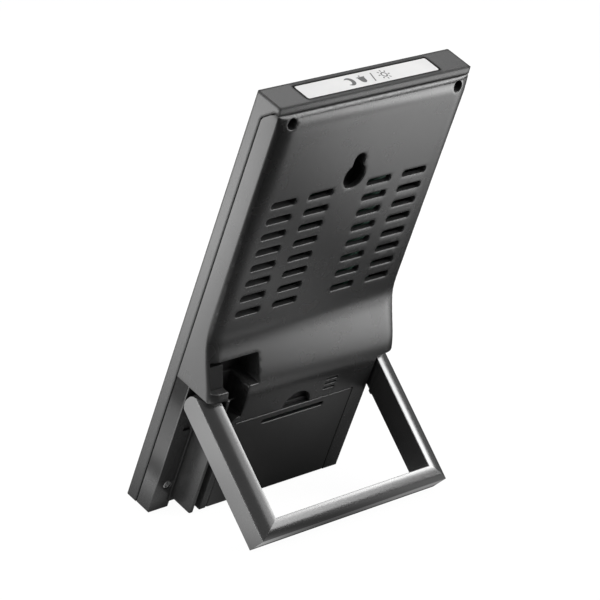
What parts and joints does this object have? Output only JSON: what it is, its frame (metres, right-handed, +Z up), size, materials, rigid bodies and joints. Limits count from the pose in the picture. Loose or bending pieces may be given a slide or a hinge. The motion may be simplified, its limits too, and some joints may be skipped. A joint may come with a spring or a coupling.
{
  "type": "desk weather station",
  "caption": "Upright desk clock and weather display in a slim case, leaning back on a fold-out bail stand, with a long key on its top edge and a battery box behind.",
  "frame": {"origin": "middle of the footprint on the desk, under the centre of the overall box", "axes": "+Z up, +X across the width towards the side with the power socket, +Y towards the back; the display faces -Y and leans back 22 degrees"},
  "size_m": [0.1082, 0.0894, 0.1901],
  "materials": {
    "front_frame": "satin black moulded plastic",
    "rear_cover": "fine satin black moulded plastic",
    "battery_door": "fine satin black moulded plastic",
    "stand_bail": "satin dark grey moulded plastic",
    "key_white": "satin white moulded plastic",
    "key_black": "satin black moulded plastic",
    "lens": "clear tinted acrylic",
    "lcd": "liquid crystal cell between polarisers",
    "light_guide": "clear moulded acrylic on white film",
    "light_bar": "white strip of small lamps",
    "elastomer": "striped conductive elastomer",
    "ribbon": "amber polyimide film",
    "board": "green solder mask on fibreglass",
    "chip": "black epoxy",
    "switch_black": "black moulded plastic",
    "ferrite": "dull black sintered ferrite",
    "copper_wire": "enamelled copper winding",
    "socket": "satin black moulded plastic",
    "steel": "bright zinc-plated steel",
    "screw_steel": "dark zinc-plated steel",
    "nickel": "nickel-plated spring steel",
    "sleeve": "plain dark green shrink sleeve"
  },
  "bodies": {
    "case": {"front_frame": "front_frame", "rear_cover": "rear_cover", "snooze_board": "board", "snooze_switch_1": "switch_black", "snooze_switch_2": "switch_black", "key_board": "board", "display_window": "lens", "lcd_panel": "lcd", "light_guide": "light_guide", "backlight_bar": "light_bar", "lcd_connector": "elastomer", "display_ribbon": "ribbon", "main_board": "board", "receiver_board": "board", "control_chip": "chip", "receiver_chip": "chip", "buzzer": "chip", "antenna_rod": "ferrite", "antenna_coil": "copper_wire", "dc_jack": "socket", "dc_jack_pin": "nickel", "contact_plate_left": "nickel", "contact_plate_right": "nickel", "setting_switch_1": "switch_black", "setting_switch_2": "switch_black", "setting_switch_3": "switch_black", "setting_switch_4": "switch_black", "setting_switch_5": "switch_black", "board_screw_1": "steel", "case_screw_1": "screw_steel", "board_screw_2": "steel", "case_screw_2": "screw_steel", "board_screw_3": "steel", "case_screw_3": "screw_steel", "board_screw_4": "steel", "case_screw_4": "screw_steel", "battery_cell_1": "sleeve", "battery_spring_1": "nickel", "battery_cell_2": "sleeve", "battery_spring_2": "nickel", "battery_cell_3": "sleeve", "battery_spring_3": "nickel"},
    "stand": {"stand_bail": "stand_bail", "stand_pin_left": "steel", "stand_pin_right": "steel"},
    "snooze_key": {"snooze_key": "key_white"},
    "battery_door": {"battery_door": "battery_door"},
    "setting_key_1": {"setting_key_1": "key_black"},
    "setting_key_2": {"setting_key_2": "key_black"},
    "setting_key_3": {"setting_key_3": "key_black"},
    "setting_key_4": {"setting_key_4": "key_black"},
    "setting_key_5": {"setting_key_5": "key_black"}
  },
  "joints": [
    {"name": "stand_hinge", "type": "hinge", "parent": "case", "child": "stand", "pos_m": [0, -0.00464, 0.05144], "axis": [1, 0, 0], "range_deg": [-60, 0]},
    {"name": "snooze_press", "type": "slide", "parent": "case", "child": "snooze_key", "axis": [0, -0.3828, -0.9238], "range_m": [0, 0.001], "stiffness_N_per_m": 600, "springref_m": -0.001},
    {"name": "battery_door_hinge", "type": "hinge", "parent": "case", "child": "battery_door", "pos_m": [0, -0.01789, 0.0013], "axis": [-1, 0, 0], "range_deg": [0, 50]},
    {"name": "setting_press_1", "type": "slide", "parent": "case", "child": "setting_key_1", "axis": [0, 0.9238, -0.3828], "range_m": [0, 0.0005], "stiffness_N_per_m": 800, "springref_m": -0.0005},
    {"name": "setting_press_2", "type": "slide", "parent": "case", "child": "setting_key_2", "axis": [0, 0.9238, -0.3828], "range_m": [0, 0.0005], "stiffness_N_per_m": 800, "springref_m": -0.0005},
    {"name": "setting_press_3", "type": "slide", "parent": "case", "child": "setting_key_3", "axis": [0, 0.9238, -0.3828], "range_m": [0, 0.0005], "stiffness_N_per_m": 800, "springref_m": -0.0005},
    {"name": "setting_press_4", "type": "slide", "parent": "case", "child": "setting_key_4", "axis": [0, 0.9238, -0.3828], "range_m": [0, 0.0005], "stiffness_N_per_m": 800, "springref_m": -0.0005},
    {"name": "setting_press_5", "type": "slide", "parent": "case", "child": "setting_key_5", "axis": [0, 0.9238, -0.3828], "range_m": [0, 0.0005], "stiffness_N_per_m": 800, "springref_m": -0.0005}
  ]
}
